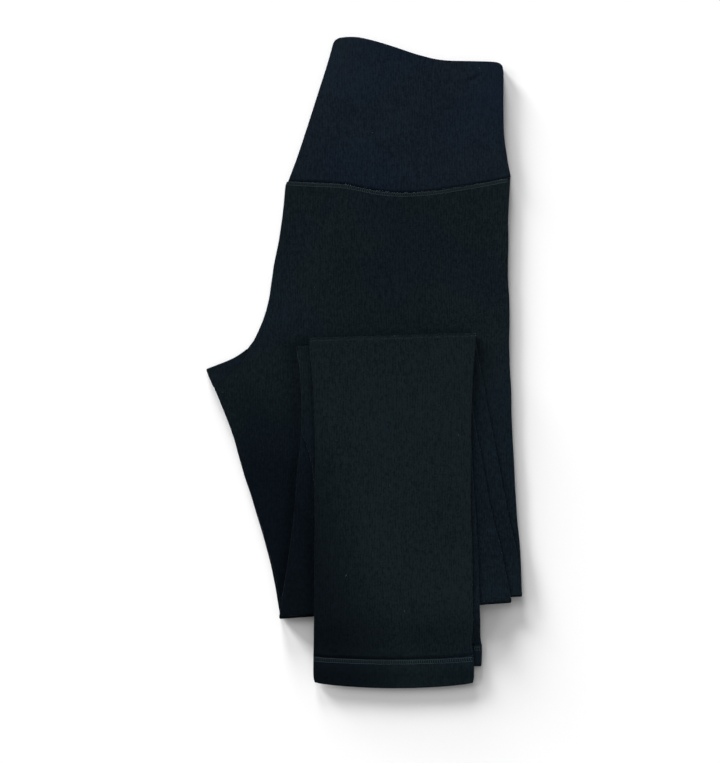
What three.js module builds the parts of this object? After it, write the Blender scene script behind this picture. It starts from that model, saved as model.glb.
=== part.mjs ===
// High-rise leggings of black double knit, folded in half lengthwise and then twice across the
// legs, lying flat. Millimetres, +X across, +Y towards the waist, +Z up. The origin is on the
// surface that they lie on, under the middle of the folded stack. The right half lies on the left
// one, and both legs fold together like one doubled sheet: down, up to the hips, and down again.
import * as THREE from "three";
import { mergeVertices } from "three/addons/utils/BufferGeometryUtils.js";

// Cloth
const CLOTH = 1.1;
const LEG_THICK = 2 * CLOTH;
const BAND_THICK = 3.2;
const HEM_THICK = 3;
const LAYER_GAP = 0.3;
const SEAM_GAP = 0.3;
const MOUTH_GAP = 0.5;
const MOUTH_DEPTH = 14;

// Height of the middle of each layer, from the surface up
const PITCH = LEG_THICK + LAYER_GAP;
const layerHeight = (n) => LEG_THICK / 2 + n * PITCH;
const LEFT_DOWN = layerHeight(0);
const RIGHT_DOWN = layerHeight(1);
const RIGHT_UP = layerHeight(2);
const LEFT_UP = layerHeight(3);
const LEFT_OVER = layerHeight(4);
const RIGHT_OVER = layerHeight(5);
const LEFT_BAND = BAND_THICK / 2;
const RIGHT_BAND = LEFT_BAND + BAND_THICK + LAYER_GAP;

// Hems: how high the hanging ends lie, and where each turned hem starts and stops
const LEFT_HEM_HEIGHT = HEM_THICK / 2 + 0.3;
const RIGHT_HEM_HEIGHT = 5.2;
const RIGHT_END_HEIGHT = 2.6;

// The seam between waistband and hip, seen from above, with its dip. The top edge of the band
const SEAM = [
  { x: -61, y: 148.4 },
  { x: -42, y: 147.4 },
  { x: -16, y: 146 },
  { x: 9, y: 141.2 },
  { x: 28, y: 139.3 },
  { x: 48, y: 140.1 },
  { x: 68, y: 142.6 },
  { x: 92, y: 146.6 },
  { x: 118.6, y: 151.6 },
];
const BAND_TOP = [
  { x: -25.2, y: 259.4 },
  { x: -23, y: 262 },
  { x: -19, y: 263.6 },
  { x: -11.6, y: 264.1 },
  { x: -3.5, y: 263.6 },
  { x: 8.7, y: 260.8 },
  { x: 24.9, y: 255.9 },
  { x: 41.1, y: 250.5 },
  { x: 57.3, y: 246.4 },
  { x: 69.4, y: 245 },
  { x: 85.7, y: 244.6 },
  { x: 101.9, y: 244.2 },
  { x: 108.8, y: 243.2 },
  { x: 111.8, y: 240.6 },
  { x: 112.6, y: 237.4 },
];
// Side edges of the band, from the seam up, t = 0 at the seam and 1 at the top
const BAND_SIDES = [
  { t: 0, left: -60.6, right: 118.6 },
  { t: 0.17, left: -54.4, right: 115.8 },
  { t: 0.4, left: -45.9, right: 113.1 },
  { t: 0.65, left: -37, right: 112.5 },
  { t: 0.85, left: -29.9, right: 112.6 },
  { t: 1, left: -25.2, right: 112.6 },
];

// Edges of a leg where it lies flat, a row for each place down its length. The first row is at the
// waistband's seam, and the corner rows near y = -19 are where gusset and inseam meet
const HIP = [
  { leftX: -63.2, leftY: 147.6, rightX: 118.8, rightY: 151.2 },
  { leftX: -64.4, leftY: 142, rightX: 118.3, rightY: 143 },
  { leftX: -65.2, leftY: 129, rightX: 117.4, rightY: 129 },
  { leftX: -66.7, leftY: 116.5, rightX: 116.7, rightY: 116.5 },
  { leftX: -68.4, leftY: 104, rightX: 116.6, rightY: 104 },
  { leftX: -70.7, leftY: 92, rightX: 116.6, rightY: 92 },
  { leftX: -73.3, leftY: 80, rightX: 116.6, rightY: 80 },
  { leftX: -74.9, leftY: 68, rightX: 116.6, rightY: 68 },
  { leftX: -76.9, leftY: 55.6, rightX: 117.4, rightY: 55.6 },
  { leftX: -79.8, leftY: 43.4, rightX: 117.9, rightY: 43.4 },
  { leftX: -83.8, leftY: 31.2, rightX: 118, rightY: 31.2 },
  { leftX: -89.2, leftY: 19.4, rightX: 117.8, rightY: 19.4 },
  { leftX: -94.2, leftY: 12.2, rightX: 117.8, rightY: 12.2 },
  { leftX: -97.6, leftY: 4.4, rightX: 118, rightY: 4.4 },
  { leftX: -101, leftY: -0.6, rightX: 118.1, rightY: -0.6 },
  { leftX: -105.7, leftY: -5, rightX: 118.3, rightY: -5 },
  { leftX: -110.6, leftY: -9.6, rightX: 118.4, rightY: -9.6 },
  { leftX: -116, leftY: -14.8, rightX: 118.6, rightY: -14.8 },
  { leftX: -121.6, leftY: -20.4, rightX: 118.8, rightY: -20.4 },
];
const RIGHT_THIGH = [
  { leftX: -121.6, leftY: -20.4, rightX: 118.8, rightY: -20.4 },
  { leftX: -117.6, leftY: -29.7, rightX: 119, rightY: -29.7 },
  { leftX: -110.9, leftY: -45.9, rightX: 119.6, rightY: -45.9 },
  { leftX: -105.1, leftY: -62.1, rightX: 120.4, rightY: -62.1 },
  { leftX: -100.2, leftY: -78.4, rightX: 121.4, rightY: -78.3 },
  { leftX: -90.2, leftY: -110.8, rightX: 123.1, rightY: -109 },
  { leftX: -80.2, leftY: -143.3, rightX: 125.2, rightY: -139 },
  { leftX: -73, leftY: -170, rightX: 127, rightY: -165 },
  { leftX: -68.4, leftY: -196, rightX: 127.8, rightY: -186.6 },
];
const LEFT_THIGH = [
  { leftX: -121.6, leftY: -20.4, rightX: 117.4, rightY: -20.4 },
  { leftX: -117.9, leftY: -29.7, rightX: 117.4, rightY: -29.7 },
  { leftX: -111.4, leftY: -45.9, rightX: 117.4, rightY: -45.9 },
  { leftX: -105.7, leftY: -62.1, rightX: 117.4, rightY: -62.1 },
  { leftX: -100.9, leftY: -78.4, rightX: 117.4, rightY: -78.3 },
  { leftX: -91.1, leftY: -110.8, rightX: 117.6, rightY: -108 },
  { leftX: -81.4, leftY: -143.3, rightX: 118, rightY: -137 },
  { leftX: -74.6, leftY: -170, rightX: 118.2, rightY: -161 },
  { leftX: -68.4, leftY: -201.9, rightX: 118.6, rightY: -189 },
];
const RIGHT_SHIN_UP = [
  { leftX: -68.4, leftY: -196, rightX: 127.8, rightY: -186.6 },
  { leftX: -63, leftY: -168, rightX: 125.8, rightY: -164 },
  { leftX: -57, leftY: -139, rightX: 119.9, rightY: -137 },
  { leftX: -52.5, leftY: -104, rightX: 113.4, rightY: -103.6 },
  { leftX: -49.6, leftY: -70, rightX: 106.6, rightY: -68.5 },
  { leftX: -47.4, leftY: -38, rightX: 100, rightY: -36.5 },
  { leftX: -45.8, leftY: -8, rightX: 94.4, rightY: -6 },
  { leftX: -44.4, leftY: 15.6, rightX: 90, rightY: 19.6 },
];
const LEFT_SHIN_UP = [
  { leftX: -67.6, leftY: -201.9, rightX: 118.2, rightY: -189 },
  { leftX: -64.4, leftY: -178, rightX: 114.6, rightY: -170 },
  { leftX: -60.4, leftY: -150, rightX: 109.8, rightY: -146 },
  { leftX: -57, leftY: -122, rightX: 103.4, rightY: -121 },
  { leftX: -53.6, leftY: -84, rightX: 96, rightY: -84 },
  { leftX: -51.2, leftY: -58, rightX: 91, rightY: -57.4 },
  { leftX: -50.9, leftY: -30, rightX: 86.6, rightY: -29 },
  { leftX: -52, leftY: -7, rightX: 84, rightY: -5.6 },
  { leftX: -54.6, leftY: 12.8, rightX: 82.4, rightY: 16 },
];
const LEFT_SHIN_OVER = [
  { leftX: -54.6, leftY: 12.8, rightX: 82.4, rightY: 16 },
  { leftX: -51.4, leftY: -7, rightX: 83, rightY: -5.6 },
  { leftX: -50.6, leftY: -30, rightX: 84, rightY: -29 },
  { leftX: -50.2, leftY: -56, rightX: 85.4, rightY: -55.4 },
  { leftX: -44.4, leftY: -72, rightX: 86.4, rightY: -71.6 },
  { leftX: -41.2, leftY: -88, rightX: 87.2, rightY: -87.6 },
  { leftX: -38.6, leftY: -120, rightX: 90, rightY: -119.8 },
  { leftX: -36.6, leftY: -155, rightX: 91.9, rightY: -154 },
  { leftX: -35.4, leftY: -197, rightX: 92.8, rightY: -190 },
];
const RIGHT_SHIN_OVER = [
  { leftX: -44.4, leftY: 15.6, rightX: 90, rightY: 19.6 },
  { leftX: -42.4, leftY: -1, rightX: 88.4, rightY: 2 },
  { leftX: -41, leftY: -20, rightX: 86.6, rightY: -18 },
  { leftX: -40.3, leftY: -40, rightX: 86, rightY: -39 },
  { leftX: -39.6, leftY: -78, rightX: 85.6, rightY: -77.6 },
  { leftX: -39.8, leftY: -125, rightX: 86.1, rightY: -124 },
  { leftX: -40.2, leftY: -160, rightX: 86.7, rightY: -158 },
  { leftX: -40.4, leftY: -197, rightX: 87.2, rightY: -190 },
];
// The ends that hang past the lower fold and settle on the surface. fall is how far a row has come
// down, from 0 to 1, and bow how far its middle lies nearer the hem than its edges
const LEFT_DROP = [
  { leftX: -35.2, leftY: -206, rightX: 93, rightY: -199, fall: 0.04, bow: 0 },
  { leftX: -35, leftY: -213, rightX: 93.4, rightY: -208, fall: 0.24, bow: 0 },
  { leftX: -34.8, leftY: -219, rightX: 93.8, rightY: -217, fall: 0.6, bow: 0 },
  { leftX: -34.6, leftY: -224, rightX: 94.4, rightY: -223.6, fall: 0.9, bow: 0 },
  { leftX: -34.6, leftY: -227.7, rightX: 95.2, rightY: -227.7, fall: 1, bow: 0 },
];
const RIGHT_DROP = [
  { leftX: -40.4, leftY: -206, rightX: 87.4, rightY: -199, fall: 0.06, bow: 0.3 },
  { leftX: -40.4, leftY: -213, rightX: 87.8, rightY: -208, fall: 0.24, bow: 0.7 },
  { leftX: -40.6, leftY: -220, rightX: 87.6, rightY: -216, fall: 0.51, bow: 1.2 },
  { leftX: -41, leftY: -227, rightX: 87, rightY: -225, fall: 0.8, bow: 1.8 },
  { leftX: -41.2, leftY: -236.2, rightX: 88, rightY: -235.8, fall: 1, bow: 2.4 },
];
const LEFT_HEM_ROWS = [
  { leftX: -34.6, leftY: -228, rightX: 95.5, rightY: -228, fall: 0, bow: 0 },
  { leftX: -34.4, leftY: -234, rightX: 95.6, rightY: -234, fall: 0, bow: 0 },
  { leftX: -34.4, leftY: -240, rightX: 95.5, rightY: -240, fall: 0, bow: 0 },
  { leftX: -34.6, leftY: -245.8, rightX: 95.2, rightY: -245.8, fall: 0, bow: 0 },
];
const RIGHT_HEM_ROWS = [
  { leftX: -41.2, leftY: -236.6, rightX: 88.4, rightY: -236.2, fall: 0, bow: 2.4 },
  { leftX: -41.2, leftY: -242, rightX: 88.8, rightY: -241.8, fall: 0, bow: 2.8 },
  { leftX: -41.2, leftY: -247, rightX: 88.8, rightY: -246.8, fall: 0.06, bow: 3.2 },
  { leftX: -41.2, leftY: -251, rightX: 88.8, rightY: -251, fall: 0.45, bow: 3.6 },
  { leftX: -41, leftY: -255, rightX: 88.8, rightY: -255.2, fall: 0.85, bow: 4 },
  { leftX: -40.4, leftY: -258.7, rightX: 88.2, rightY: -259.1, fall: 1, bow: 4.4 },
];
// The gusset's free edges: crotch curve from the hip to the point, then the top of the inseam
const GUSSET_EDGE = [
  { x: -96, y: 11.2 },
  { x: -101.7, y: 7 },
  { x: -107.4, y: 3.8 },
  { x: -113.1, y: 1.3 },
  { x: -121.2, y: -1.8 },
  { x: -127.2, y: -4.2 },
  { x: -128, y: -5.4 },
  { x: -126.6, y: -9.6 },
  { x: -122.6, y: -18.8 },
];

const FOLD_STEPS = 8;
const ROUND_STEPS = 2;
// Points across a section stand closer near its edges: 0 is even, 1 is fully crowded
const CROWDING = 0.5;
const LEG_ACROSS = 9;
const HEM_ACROSS = 12;
const BOW_FLATNESS = 0.7;
const BAND_ACROSS = 22;
const BAND_STEPS = 7;
const GUSSET_STEPS = 10;
// How far above the gusset's top corner the leg's seam edge is still read, for a smooth curve
const GUSSET_OVERLAP = 2;
// Weights of the two near rows and the two far ones, for a smooth row halfway between
const NEAR_WEIGHT = 9 / 16;
const FAR_WEIGHT = -1 / 16;
// Over which stretch of the hip, in Y, the seam's dip fades out
const DIP_FADE = { from: 40, to: 140 };
const cloth = (colour, roughness) =>
  new THREE.MeshStandardMaterial({ color: colour, roughness: roughness, metalness: 0 });
const LEG_CLOTH = cloth(0x171d1f, 0.85);
const BAND_CLOTH = cloth(0x191f26, 0.82);
const HEM_CLOTH = cloth(0x13181a, 0.86);
const GUSSET_CLOTH = cloth(0x141a1e, 0.86);

const mix = (a, b, t) => a + (b - a) * t;
const clamp = (t) => Math.min(Math.max(t, 0), 1);
const smooth = (t) => t * t * (3 - 2 * t);

// Value at x of the smooth curve through a table's rows, read by two of its columns
function along(table, from, to, x) {
  let i = 0;
  while (i < table.length - 2 && x > table[i + 1][from]) i += 1;
  const slope = (k) => {
    const a = table[Math.max(k - 1, 0)];
    const b = table[Math.min(k + 1, table.length - 1)];
    return (b[to] - a[to]) / (b[from] - a[from]);
  };
  const a = table[i];
  const b = table[i + 1];
  const span = b[from] - a[from];
  const t = clamp((x - a[from]) / span);
  const t2 = t * t;
  const t3 = t2 * t;
  return (2 * t3 - 3 * t2 + 1) * a[to] + (t3 - 2 * t2 + t) * span * slope(i)
    + (3 * t2 - 2 * t3) * b[to] + (t3 - t2) * span * slope(i + 1);
}

// How far the hip's top edge dips below the straight line between its two ends, at x
function seamDip(x) {
  const first = SEAM[0];
  const last = SEAM[SEAM.length - 1];
  const inside = Math.min(Math.max(x, first.x), last.x);
  const chord = mix(first.y, last.y, (inside - first.x) / (last.x - first.x));
  return along(SEAM, "x", "y", inside) - chord;
}

// A section is cut across the cloth: where its middle line runs from the left edge to the right
// one, how thick it is, and which way its upper face looks, as an angle from straight up
function section(row, height, thick, across, turn = 0, dip = () => 0) {
  return { row, height, thick, across, turn, dip };
}

// The closed ring of points of a section, over the upper face and back under the lower one, with
// round edges. The two halves have the same points across, so a ring closes like a zip
function ring({ row, height, thick, across, turn, dip }) {
  const half = thick / 2;
  const steps = [];
  for (let i = 0; i < ROUND_STEPS; i += 1) {
    const angle = (i / ROUND_STEPS) * Math.PI / 2;
    steps.push({ u: 0, out: Math.cos(angle), up: Math.sin(angle) });
  }
  for (let i = 0; i <= across; i += 1) {
    const even = i / across;
    const crowded = (1 - Math.cos(Math.PI * even)) / 2;
    steps.push({ u: mix(even, crowded, CROWDING), out: 0, up: 1 });
  }
  for (let i = ROUND_STEPS - 1; i >= 0; i -= 1) {
    const angle = (i / ROUND_STEPS) * Math.PI / 2;
    steps.push({ u: 1, out: -Math.cos(angle), up: Math.sin(angle) });
  }
  const place = ({ u, out, up }) => {
    const x = mix(row.leftX + half, row.rightX - half, u) - out * half;
    const y = mix(row.leftY, row.rightY, u) + dip(x, u);
    return new THREE.Vector3(x, y - Math.sin(turn) * up * half, height + Math.cos(turn) * up * half);
  };
  const lower = steps.slice(1, -1).reverse().map((s) => ({ ...s, up: -s.up }));
  return [...steps, ...lower].map(place);
}

// A closed solid through a list of rings of equal length, with both ends zipped shut
function loft(name, rings, material) {
  const count = rings[0].length;
  const points = rings.flat();
  const faces = [];
  for (let r = 0; r < rings.length - 1; r += 1) {
    for (let i = 0; i < count; i += 1) {
      const a = r * count + i;
      const b = r * count + ((i + 1) % count);
      faces.push([a, b, a + count], [b, b + count, a + count]);
    }
  }
  const zip = (base, flip) => {
    for (let i = 0; i < count / 2; i += 1) {
      const a = base + i;
      const b = base + i + 1;
      const c = base + ((count - i - 1) % count);
      const d = base + ((count - i) % count);
      for (const face of [[a, c, b], [a, d, c]]) {
        if (new Set(face).size === 3) faces.push(flip ? [face[0], face[2], face[1]] : face);
      }
    }
  };
  zip(0, false);
  zip((rings.length - 1) * count, true);
  return solid(name, points, faces, material);
}

// A named mesh from points and faces, turned right side out if its volume comes out negative
function solid(name, points, faces, material) {
  const volume = faces.reduce((sum, [a, b, c]) =>
    sum + points[a].dot(new THREE.Vector3().crossVectors(points[b], points[c])), 0);
  const index = faces.flatMap(([a, b, c]) => (volume > 0 ? [a, b, c] : [a, c, b]));
  const geometry = new THREE.BufferGeometry();
  const numbers = points.flatMap((p) => p.toArray());
  geometry.setAttribute("position", new THREE.Float32BufferAttribute(numbers, 3));
  geometry.setIndex(index);
  const mesh = new THREE.Mesh(mergeVertices(geometry, 1e-4), material);
  mesh.geometry.computeVertexNormals();
  mesh.name = name;
  return mesh;
}

// Rows halfway between a table's rows, so that edges run smoothly round their bends
function finer(table) {
  const keys = Object.keys(table[0]);
  const rows = [];
  table.forEach((row, i) => {
    rows.push(row);
    if (i === table.length - 1) return;
    const before = table[Math.max(i - 1, 0)];
    const next = table[i + 1];
    const after = table[Math.min(i + 2, table.length - 1)];
    const middle = {};
    for (const key of keys) {
      middle[key] = NEAR_WEIGHT * (row[key] + next[key]) + FAR_WEIGHT * (before[key] + after[key]);
    }
    rows.push(middle);
  });
  return rows;
}

// How a row bows towards the hem between its two ends
const bowOf = (row) => (x, u) => -row.bow * Math.sin(Math.PI * u) ** BOW_FLATNESS;

// A fold's sections, half a turn round an axis over the row: towards -Y at the lower fold and
// towards +Y at the upper one. The cloth's upper face turns to look down, or back up again
function fold(row, fromHeight, toHeight, side) {
  const radius = (toHeight - fromHeight) / 2;
  const startTurn = side < 0 ? 0 : Math.PI;
  const sections = [];
  for (let i = 1; i < FOLD_STEPS; i += 1) {
    const angle = (i / FOLD_STEPS) * Math.PI;
    const reach = side * radius * Math.sin(angle);
    const moved = { ...row, leftY: row.leftY + reach, rightY: row.rightY + reach };
    const height = fromHeight + radius * (1 - Math.cos(angle));
    sections.push(section(moved, height, LEG_THICK, LEG_ACROSS, startTurn - side * angle));
  }
  return sections;
}

// A section of the hip, which takes on the seam's dip towards the waistband
function hipSection(row, height) {
  const fade = smooth(clamp((row.rightY - DIP_FADE.from) / (DIP_FADE.to - DIP_FADE.from)));
  return section(row, height, LEG_THICK, LEG_ACROSS, 0, (x) => seamDip(x) * fade);
}

// A whole leg: hip, down to the lower fold, up to the upper one, and down again to its hem
function leg(name, spec) {
  const flat = (rows, height, turn = 0) =>
    rows.map((row) => section(row, height, LEG_THICK, LEG_ACROSS, turn));
  const hip = finer(HIP).map((row) => hipSection(row, spec.down));
  const sections = [
    ...hip,
    ...flat(finer(spec.thigh).slice(1), spec.down),
    ...fold(spec.thigh[spec.thigh.length - 1], spec.down, spec.up, -1),
    ...flat(spec.shinUp, spec.up, Math.PI),
    ...fold(spec.shinUp[spec.shinUp.length - 1], spec.up, spec.over, 1),
    ...flat(spec.shinOver, spec.over),
    ...finer(spec.drop).map((row) => section(
      row, mix(spec.over, spec.hemHeight, row.fall), LEG_THICK, LEG_ACROSS, 0, bowOf(row),
    )),
  ];
  return loft(name, sections.map(ring), LEG_CLOTH);
}

// A turned hem with an open mouth: its outer rings, the rim, and a flat slit going back in
function hem(name, rows, height, endHeight) {
  const shaped = finer(rows);
  const end = rows[rows.length - 1];
  const cut = (row, thick) =>
    section(row, mix(height, endHeight, row.fall), thick, HEM_ACROSS, 0, bowOf(row));
  const inset = (HEM_THICK - MOUTH_GAP) / 2;
  const narrower = (row) => ({ ...row, leftX: row.leftX + inset, rightX: row.rightX - inset });
  const outer = shaped.map((row) => cut(row, HEM_THICK));
  const inner = shaped.filter((row) => row.rightY < end.rightY + MOUTH_DEPTH)
    .map((row) => cut(narrower(row), MOUTH_GAP)).reverse();
  return loft(name, [...outer, ...inner].map(ring), HEM_CLOTH);
}

// Half of the waistband: flat from the seam to its folded top edge, with the waist's mouth as a
// slit in the top. Its lower end follows the hip's top edge, point for point, and its rows change
// from that edge to the curve of the top
function band(name, height) {
  const hipEdge = ring(hipSection(HIP[0], height)).slice(0, LEG_ACROSS + 2 * ROUND_STEPS + 1);
  const lowAt = (x) => {
    const next = hipEdge.findIndex((p, i) => i > 0 && (p.x >= x || i === hipEdge.length - 1));
    const a = hipEdge[next - 1];
    const b = hipEdge[next];
    return mix(a.y, b.y, clamp((x - a.x) / (b.x - a.x))) + SEAM_GAP;
  };
  const topEnds = [BAND_TOP[0].x, BAND_TOP[BAND_TOP.length - 1].x];
  const highAt = (share) => along(BAND_TOP, "x", "y", mix(...topEnds, share));
  const length = BAND_TOP[0].y - SEAM[0].y;
  const at = (t, thick) => {
    const left = along(BAND_SIDES, "t", "left", t);
    const right = along(BAND_SIDES, "t", "right", t);
    const inset = (BAND_THICK - thick) / 2;
    const curve = (x) => {
      const share = clamp((x - left) / (right - left));
      const low = lowAt(mix(BAND_SIDES[0].left, BAND_SIDES[0].right, share));
      return mix(low, highAt(share), t);
    };
    const row = { leftX: left + inset, leftY: 0, rightX: right - inset, rightY: 0 };
    return ring(section(row, height, thick, BAND_ACROSS, 0, curve));
  };
  const rings = [];
  for (let i = 0; i <= BAND_STEPS; i += 1) rings.push(at(i / BAND_STEPS, BAND_THICK));
  rings.push(at(1, MOUTH_GAP), at(1 - MOUTH_DEPTH / length, MOUTH_GAP));
  return loft(name, rings, BAND_CLOTH);
}

// Half of the gusset: a flat piece between the leg's curved seam edge and the crotch's free edge,
// round on the free side. Each of its rings runs from the free edge in to the seam
function gusset(name, height) {
  const half = LEG_THICK / 2;
  const seamRows = HIP.filter((row) => row.leftY < GUSSET_EDGE[0].y + GUSSET_OVERLAP);
  const seamPoints = seamRows.map((row) => new THREE.Vector2(row.leftX - SEAM_GAP, row.leftY));
  const seam = new THREE.SplineCurve(seamPoints);
  const free = new THREE.SplineCurve(GUSSET_EDGE.map(({ x, y }) => new THREE.Vector2(x, y)));
  const rings = [];
  for (let i = 0; i <= GUSSET_STEPS; i += 1) {
    const outer = free.getPoint(i / GUSSET_STEPS);
    const inner = seam.getPoint(i / GUSSET_STEPS);
    const rim = outer.clone().add(inner.clone().sub(outer).setLength(half));
    const at = (point, up) => new THREE.Vector3(point.x, point.y, height + up * half);
    rings.push([at(outer, 0), at(rim, 1), at(inner, 1), at(inner, 0), at(inner, -1), at(rim, -1)]);
  }
  return loft(name, rings, GUSSET_CLOTH);
}

const leggings = new THREE.Group();
leggings.add(leg("right_leg", {
  down: RIGHT_DOWN, up: RIGHT_UP, over: RIGHT_OVER, thigh: RIGHT_THIGH, shinUp: RIGHT_SHIN_UP,
  shinOver: RIGHT_SHIN_OVER, drop: RIGHT_DROP, hemHeight: RIGHT_HEM_HEIGHT,
}));
leggings.add(leg("left_leg", {
  down: LEFT_DOWN, up: LEFT_UP, over: LEFT_OVER, thigh: LEFT_THIGH, shinUp: LEFT_SHIN_UP,
  shinOver: LEFT_SHIN_OVER, drop: LEFT_DROP, hemHeight: LEFT_HEM_HEIGHT,
}));
leggings.add(band("right_waistband", RIGHT_BAND));
leggings.add(band("left_waistband", LEFT_BAND));
leggings.add(gusset("right_gusset", RIGHT_DOWN));
leggings.add(gusset("left_gusset", LEFT_DOWN));
leggings.add(hem("right_hem", RIGHT_HEM_ROWS, RIGHT_HEM_HEIGHT, RIGHT_END_HEIGHT));
leggings.add(hem("left_hem", LEFT_HEM_ROWS, LEFT_HEM_HEIGHT, LEFT_HEM_HEIGHT));
export default leggings;
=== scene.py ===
import math
from collections import namedtuple

import bpy
import bmesh
import numpy as np
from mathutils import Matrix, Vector
from mathutils.bvhtree import BVHTree


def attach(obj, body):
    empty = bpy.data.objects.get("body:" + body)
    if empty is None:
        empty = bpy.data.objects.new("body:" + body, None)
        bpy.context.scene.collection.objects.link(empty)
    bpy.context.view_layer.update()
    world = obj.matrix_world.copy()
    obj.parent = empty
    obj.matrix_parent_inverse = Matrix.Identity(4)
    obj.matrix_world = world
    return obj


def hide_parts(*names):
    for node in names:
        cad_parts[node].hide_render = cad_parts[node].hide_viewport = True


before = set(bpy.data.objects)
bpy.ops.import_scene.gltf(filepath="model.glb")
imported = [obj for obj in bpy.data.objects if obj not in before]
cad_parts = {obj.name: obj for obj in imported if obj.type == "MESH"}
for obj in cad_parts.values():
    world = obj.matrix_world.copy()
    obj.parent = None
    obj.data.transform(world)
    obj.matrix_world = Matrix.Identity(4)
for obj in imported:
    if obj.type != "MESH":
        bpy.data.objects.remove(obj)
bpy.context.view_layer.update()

# The view. The photograph looks straight down on the folded garment from about 1.2 metres, and its
# frame is 720 by 763 pixels, with 0.8135 millimetres of the surface in each pixel.
MM = 0.001
EYE_HEIGHT = 1200 * MM
EYE_X, EYE_Y = -3.46 * MM, -14.64 * MM
PIXEL = 0.8135 * MM
FRAME_HEIGHT = 763 * PIXEL
SENSOR = 36

eye = bpy.data.cameras.new("eye")
eye.sensor_width = SENSOR
eye.lens = SENSOR * EYE_HEIGHT / FRAME_HEIGHT
camera = bpy.data.objects.new("eye", eye)
camera.location = (EYE_X, EYE_Y, EYE_HEIGHT)
bpy.context.scene.collection.objects.link(camera)
bpy.context.scene.camera = camera
bpy.context.scene.view_settings.view_transform = "Standard"

# The surface and the light. A matt white table and an even fill from all round. A low row of soft
# boxes above and to the left, flagged off the cloth, draws the long soft shadow on the table. Two
# higher ones, from the upper left and from the right, light the cloth alone.
TABLE_SIZE = 6.0
TABLE_WHITE = (0.86, 0.86, 0.86, 1)
FILL = 0.3
# Soft boxes: power, angle of spread in degrees, and the direction that the light comes from
TOP_BOX = (5.8, 18, (-0.17, 0.97, 0.156))
MIDDLE_BOX = (7.6, 18, (-0.635, 0.757, 0.156))
LEFT_BOX = (1.1, 26, (-0.86, 0.31, 0.407))
RAISED_BOX = (0.45, 36, (-0.13, 0.75, 0.643))
CLOTH_BOX = (6.1, 42, (-0.6, 0.8, 0.56))
SIDE_BOX = (3.6, 44, (0.9, -0.2, 0.5))


def new_object(name, mesh, material):
    piece = bpy.data.objects.new(name, mesh)
    bpy.context.scene.collection.objects.link(piece)
    mesh.materials.append(material)
    return piece


def set_inputs(node, values):
    for name, value in values.items():
        node.inputs[name].default_value = value


def new_material(name):
    material = bpy.data.materials.new(name)
    material.use_nodes = True
    return material, material.node_tree, material.node_tree.nodes["Principled BSDF"]


table_mesh = bpy.data.meshes.new("table")
half = TABLE_SIZE / 2
corners = [(-half, -half, 0), (half, -half, 0), (half, half, 0), (-half, half, 0)]
table_mesh.from_pydata(corners, [], [(0, 1, 2, 3)])
table_material, _, shader = new_material("table_white")
set_inputs(shader, {"Base Color": TABLE_WHITE, "Roughness": 0.8, "Specular IOR Level": 0.2})
table = new_object("table", table_mesh, table_material)


def soft_box(name, power, spread, place, receivers):
    light = bpy.data.lights.new(name, "SUN")
    light.angle = math.radians(spread)
    light.energy = power
    box = bpy.data.objects.new(name, light)
    box.location = place
    box.rotation_euler = (-Vector(place)).to_track_quat("-Z", "Y").to_euler()
    box.light_linking.receiver_collection = receivers
    bpy.context.scene.collection.objects.link(box)


garment = bpy.data.collections.new("garment")
surface = bpy.data.collections.new("surface")
surface.objects.link(table)
soft_box("top_box", *TOP_BOX, surface)
soft_box("middle_box", *MIDDLE_BOX, surface)
soft_box("left_box", *LEFT_BOX, surface)
soft_box("raised_box", *RAISED_BOX, surface)
soft_box("cloth_box", *CLOTH_BOX, garment)
soft_box("side_box", *SIDE_BOX, garment)

world = bpy.data.worlds.new("room")
bpy.context.scene.world = world
world.use_nodes = True
set_inputs(world.node_tree.nodes["Background"], {"Color": (1, 1, 1, 1), "Strength": FILL})

# The legs' cloth. Each leg is a flattened tube of fine black double knit about 1 mm thick, cut in
# one piece from the waist seam to the hem, with one inseam. Both legs are folded together like one
# doubled sheet: down to the lower fold, up to the hips, and down again. The left leg lies below.
CLOTH = 1.1
LEG_THICK = 2 * CLOTH
WALL = 0.85
PITCH = LEG_THICK + 0.3
# How finely a tube is cut: along, across, round a side edge, round a rim, and inside
STATION_STEP = 3.0
LEG_ACROSS = 38
ROUND_STEPS = 5
RIM_STEPS = 5
INNER_STEP = 4
CROWDING = 0.5
THINNEST = 0.12


def layer_height(number):
    return LEG_THICK / 2 + number * PITCH


LEFT_HEIGHTS = {"down": layer_height(0), "up": layer_height(3), "over": layer_height(4), "hem": 1.8}
RIGHT_HEIGHTS = {"down": layer_height(1), "up": layer_height(2), "over": layer_height(5), "hem": 5.2}

# Edges of the cloth from above, in millimetres: left x, left y, right x, right y
HIP = (
    (-63.2, 147.6, 118.8, 151.2), (-64.4, 142, 118.3, 143), (-65.2, 129, 117.4, 129),
    (-66.7, 116.5, 116.7, 116.5), (-68.4, 104, 116.6, 104), (-70.7, 92, 116.6, 92),
    (-73.3, 80, 116.6, 80), (-74.9, 68, 116.6, 68), (-76.9, 55.6, 117.4, 55.6),
    (-79.8, 43.4, 117.9, 43.4), (-83.8, 31.2, 118, 31.2), (-89.2, 19.4, 117.8, 19.4),
    (-94.2, 12.2, 117.8, 12.2), (-97.6, 4.4, 118, 4.4), (-101, -0.6, 118.1, -0.6),
    (-105.7, -5, 118.3, -5), (-110.6, -9.6, 118.4, -9.6), (-116, -14.8, 118.6, -14.8),
    (-121.6, -20.4, 118.8, -20.4),
)
RIGHT_THIGH = (
    (-121.6, -20.4, 118.8, -20.4), (-117.6, -29.7, 119, -29.7), (-110.9, -45.9, 119.6, -45.9),
    (-105.1, -62.1, 120.4, -62.1), (-100.2, -78.4, 121.4, -78.3), (-90.2, -110.8, 123.1, -109),
    (-80.2, -143.3, 125.2, -139), (-73, -170, 127, -165), (-68.4, -196, 127.8, -186.6),
)
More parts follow.
